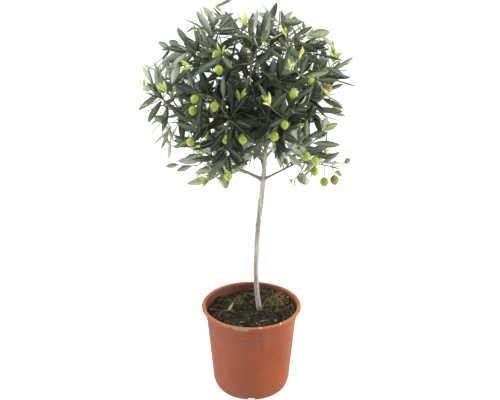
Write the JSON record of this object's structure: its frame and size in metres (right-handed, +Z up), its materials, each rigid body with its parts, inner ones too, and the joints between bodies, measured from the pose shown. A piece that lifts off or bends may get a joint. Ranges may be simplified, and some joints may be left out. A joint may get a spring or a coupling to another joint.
{
  "type": "potted olive tree",
  "caption": "Young olive tree on one slender stem in a round plastic nursery pot, with a loose round head of narrow leaves and green fruit.",
  "frame": {"origin": "middle of the pot's flat underside", "axes": "+Z up along the stem, -Y towards the front with the fullest low right bough at +X"},
  "size_m": [0.4416, 0.3939, 0.8609],
  "materials": {
    "pot": "terracotta coloured moulded plastic with a soft sheen, light scuffs and a lime stain at the rim",
    "soil": "dark moist potting compost with bark crumbs, fibres and grit",
    "bark": "smooth grey-beige young bark with fine lengthwise furrows and small knots",
    "foliage": "leathery dark green leaves, silvery beneath, on grey-green twigs with green olives"
  },
  "bodies": {
    "root": {"pot": "pot", "soil": "soil", "trunk": "bark", "bough_low_left": "bark", "bough_low_right": "bark", "bough_low_back": "bark", "bough_side_left": "bark", "bough_side_right": "bark", "bough_front_left": "bark", "bough_front_right": "bark", "bough_back_left": "bark", "bough_back_right": "bark", "bough_top_left": "bark", "bough_top_right": "bark", "bough_top_back": "bark", "bough_top_front": "bark", "foliage_low_left": "foliage", "foliage_low_right": "foliage", "foliage_low_back": "foliage", "foliage_side_left": "foliage", "foliage_side_right": "foliage", "foliage_front_left": "foliage", "foliage_front_right": "foliage", "foliage_back_left": "foliage", "foliage_back_right": "foliage", "foliage_top_left": "foliage", "foliage_top_right": "foliage", "foliage_top_back": "foliage", "foliage_top_front": "foliage", "foliage_heart": "foliage"}
  },
  "joints": []
}
